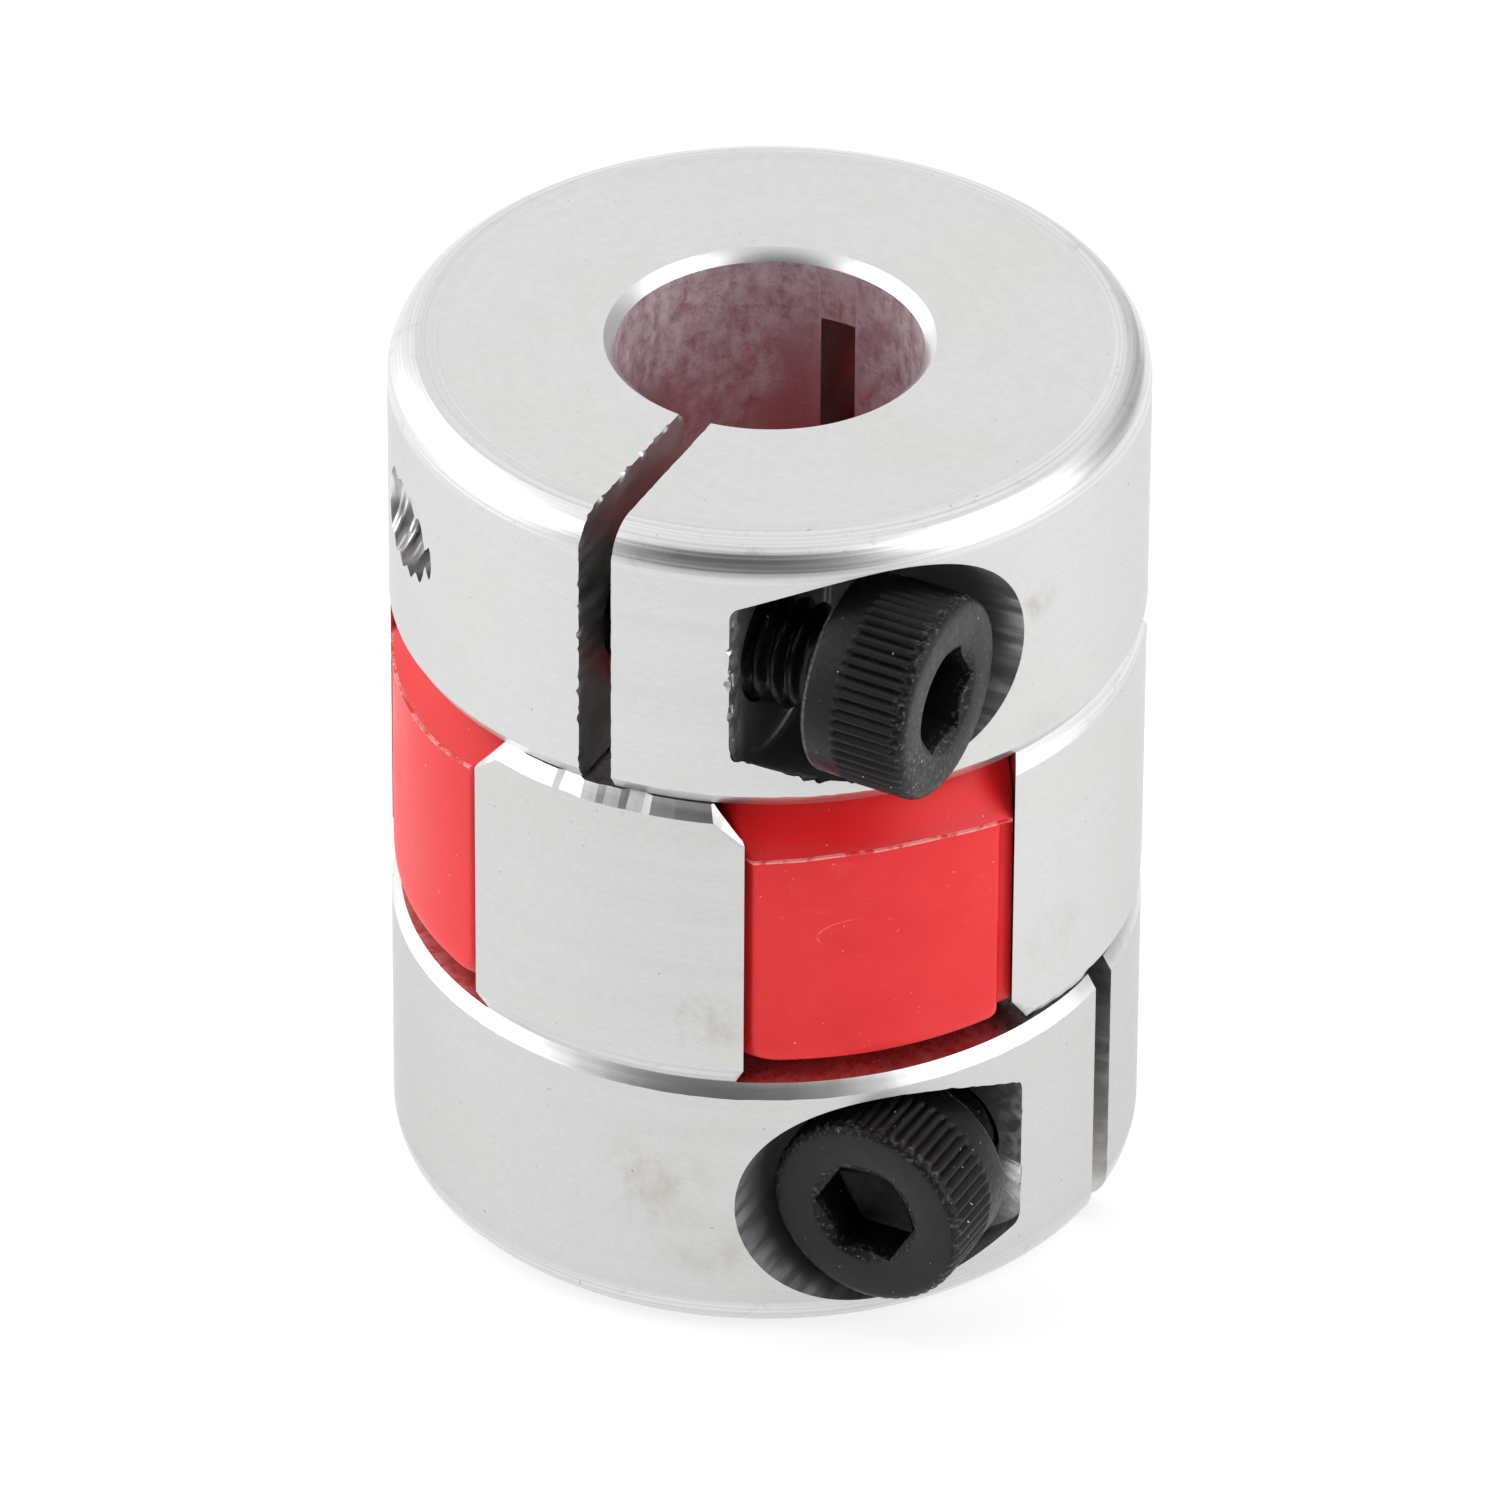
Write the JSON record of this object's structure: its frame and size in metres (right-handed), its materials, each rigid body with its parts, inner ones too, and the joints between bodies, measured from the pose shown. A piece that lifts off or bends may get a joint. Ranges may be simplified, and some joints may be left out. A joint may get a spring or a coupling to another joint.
{
  "type": "jaw coupling",
  "caption": "Zero-backlash clamping jaw coupling: slit aluminium hubs with interlaced jaws, a red elastomer spider between them, and a cap screw across each slit.",
  "frame": {"origin": "on the rotation axis, at the lower hub's end face", "axes": "+Z along the rotation axis from the lower hub to the upper hub; the upper hub's slit faces -Y and the lower hub's slit faces +X"},
  "size_m": [0.02, 0.02, 0.025],
  "materials": {
    "hub_aluminium": "turned and milled, satin, bright chamfers",
    "spider_polyurethane": "moulded, semi-gloss",
    "screw_black_oxide": "black oxide, knurled head"
  },
  "bodies": {
    "lower_hub": {"lower_hub": "hub_aluminium"},
    "spider": {"spider": "spider_polyurethane"},
    "upper_hub": {"upper_hub": "hub_aluminium"},
    "upper_clamp_screw": {"upper_clamp_screw": "screw_black_oxide"},
    "lower_clamp_screw": {"lower_clamp_screw": "screw_black_oxide"}
  },
  "joints": [
    {"name": "spider_wind_up", "type": "hinge", "parent": "lower_hub", "child": "spider", "pos_m": [0, 0, 0.0125], "axis": [0, 0, 1], "range_deg": [-1, 1], "stiffness_Nm_per_rad": 0.03},
    {"name": "upper_hub_plug", "type": "slide", "parent": "spider", "child": "upper_hub", "axis": [0, 0, 1], "range_m": [0, 0.012]},
    {"name": "upper_screw_travel", "type": "slide", "parent": "upper_hub", "child": "upper_clamp_screw", "axis": [1, 0, 0], "range_m": [-0.0021, 0.0018]},
    {"name": "lower_screw_travel", "type": "slide", "parent": "lower_hub", "child": "lower_clamp_screw", "axis": [0, -1, 0], "range_m": [-0.0015, 0.0024]}
  ]
}
